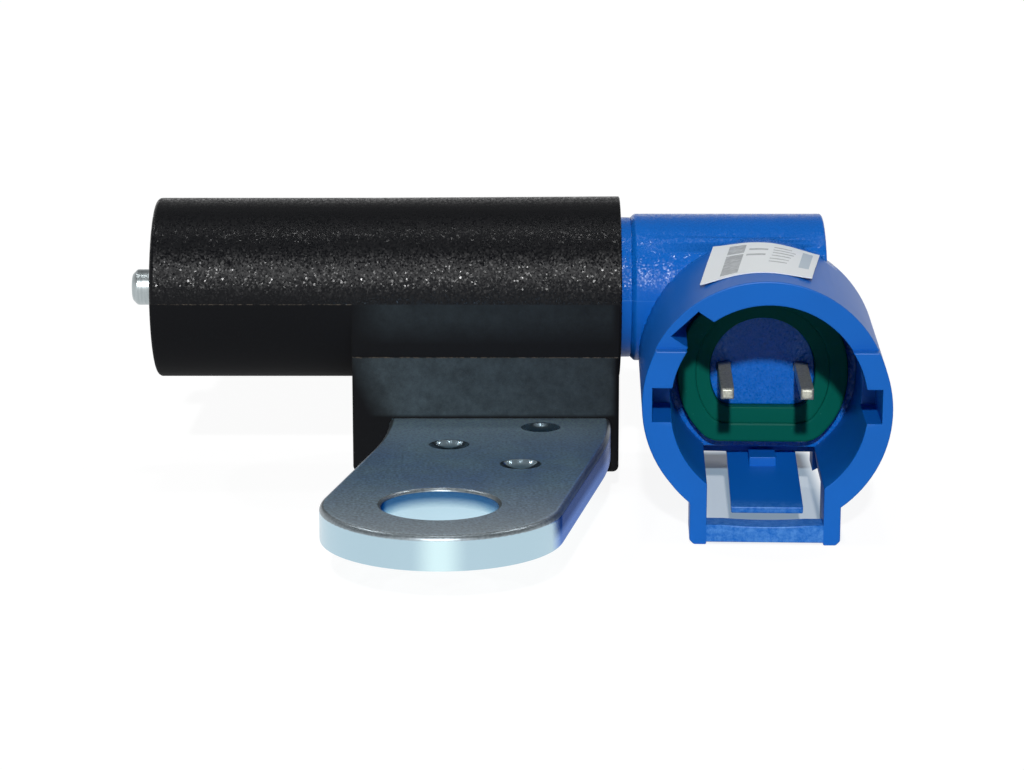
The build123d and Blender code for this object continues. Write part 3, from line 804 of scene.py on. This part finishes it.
# Studio: white floor and surround, with a dim ceiling. Key lamp at the camera, one lamp overhead,
# one at each side and a little behind.
studio = {
    # azimuth in degrees to the right of the camera's side, height over the horizon, strength and
    # the angle that the lamp fills
    "lamps": {
        "keyLamp": (-2.5, 30, 2.5, 2.5),
        "topLamp": (0, 87, 0.32, 5),
        "sideLampLeft": (-118, 55, 0.35, 6),
        "sideLampRight": (118, 55, 0.35, 6),
    },
    "floorDrop": 0.05,                   # under the lowest point of the object
    "floorSize": 6000,
    "paper": "#DCDCDC",
    "glow": 1.14,                        # strength at which the paper's own white glows
    "glowShare": 0.8,                    # of the floor's white that no shadow reaches
    "underGlow": "#C8E2F8",              # bluish under the socket, which throws its colour there
    "underShare": (0.32, 0.04),          # and its shadow is deep: before and behind the next
    "underEdge": (42.2, 42.9),
    "underLeft": (23.6, 25.6),           # that part of the floor, each side's fade
    "underRight": (37.9, 36.3),
    "underBehind": (14.0, 20.0),
    "underBefore": (51.0, 48.0),
    "surround": 0.06,
    "surroundColour": "#EEF2F8",
    "ceiling": 0.22,                     # what gloss and metal see overhead, against 1 at the horizon
    "ceilingFrom": 0.1,                  # sine of the height over the horizon where it begins
    "ceilingTo": 0.6,
}
for name, (azimuth, height, strength, angle) in studio["lamps"].items():
    turn, rise = math.radians(azimuth), math.radians(height)
    towards = Vector((math.sin(turn) * math.cos(rise), -math.cos(turn) * math.cos(rise), math.sin(rise)))
    bpy.ops.object.select_all(action="DESELECT")
    bpy.ops.object.light_add(type="SUN", location=towards)
    lamp = bpy.context.object
    lamp.name = name
    lamp.data.energy = strength
    lamp.data.angle = math.radians(angle)
    lamp.rotation_euler = (-towards).to_track_quat("-Z", "Y").to_euler()

bpy.ops.object.select_all(action="DESELECT")
bpy.ops.mesh.primitive_plane_add(
    size=studio["floorSize"] * mm, location=(0, 0, cadBox[0][2] - studio["floorDrop"] * mm))
floor = bpy.context.object
floor.name = "whiteFloor"


def seenDirectly(tree):
    # 1 for camera, glossy and transmission rays
    path = addNode(tree, "ShaderNodeLightPath")
    seen = addNode(tree, "ShaderNodeMath", {"operation": "ADD"}, {
        0: path.outputs["Is Camera Ray"], 1: path.outputs["Is Glossy Ray"]})
    return addNode(tree, "ShaderNodeMath", {"operation": "ADD", "use_clamp": True}, {
        0: seen, 1: path.outputs["Is Transmission Ray"]})


def makeFloorPaper():
    # White paper: dull, with the last of its white from its own glow so that it shows as pure white
    s = studio
    material, tree, place = newMaterial("whitePaperFloor")
    paper = addNode(tree, "ShaderNodeBsdfDiffuse", {"Color": s["paper"]})
    # Painted shade and painted blue bounce light: under the socket the glow is weaker and bluish, weakest
    # behind underEdge
    under = allOf(
        tree, past(tree, place, "Y", *s["underBehind"]), past(tree, place, "Y", *s["underBefore"]),
        past(tree, place, "X", *s["underLeft"]), past(tree, place, "X", *s["underRight"]))
    before, behind = s["underShare"]
    deep = addNode(tree, "ShaderNodeMapRange", {"To Min": before, "To Max": behind}, {
        "Value": past(tree, place, "Y", *s["underEdge"])})
    level = addNode(tree, "ShaderNodeMix", {"data_type": "FLOAT", 2: s["glowShare"]}, {0: under, 3: deep})
    tint = addNode(tree, "ShaderNodeMix", {
        "data_type": "RGBA", 6: "#FFFFFF", 7: s["underGlow"]}, {0: under})
    glow = addNode(tree, "ShaderNodeEmission", {"Strength": s["glow"]}, {"Color": tint.outputs[2]})
    both = addNode(tree, "ShaderNodeMixShader", links={
        0: allOf(tree, seenDirectly(tree), level), 1: paper, 2: glow})
    addNode(tree, "ShaderNodeOutputMaterial", links={"Surface": both})
    return material


def makeSurround():
    # White to the camera, dimmer overhead to gloss and metal, and only a weak fill as light
    s = studio
    world = bpy.data.worlds.new("whiteSurround")
    bpy.context.scene.world = world
    world.use_nodes = True
    tree = world.node_tree
    tree.nodes.clear()
    towards = addNode(tree, "ShaderNodeTexCoord").outputs["Generated"]
    height = addNode(tree, "ShaderNodeSeparateXYZ", links={"Vector": towards})
    dim = addNode(tree, "ShaderNodeMapRange", {
        "From Min": s["ceilingFrom"], "From Max": s["ceilingTo"],
        "To Min": 1.0, "To Max": s["ceiling"]}, {"Value": height.outputs["Z"]})
    toCamera = addNode(tree, "ShaderNodeLightPath").outputs["Is Camera Ray"]
    level = addNode(tree, "ShaderNodeMath", {"operation": "MAXIMUM"}, {0: dim, 1: toCamera})
    white = addNode(tree, "ShaderNodeBackground", {"Color": "#FFFFFF"}, {"Strength": level})
    fill = addNode(tree, "ShaderNodeBackground", {
        "Color": s["surroundColour"], "Strength": s["surround"]})
    both = addNode(tree, "ShaderNodeMixShader", links={0: seenDirectly(tree), 1: fill, 2: white})
    addNode(tree, "ShaderNodeOutputWorld", links={"Surface": both})


paint(floor, makeFloorPaper())
makeSurround()
bpy.context.scene.view_settings.view_transform = "Standard"
print("studio lit")
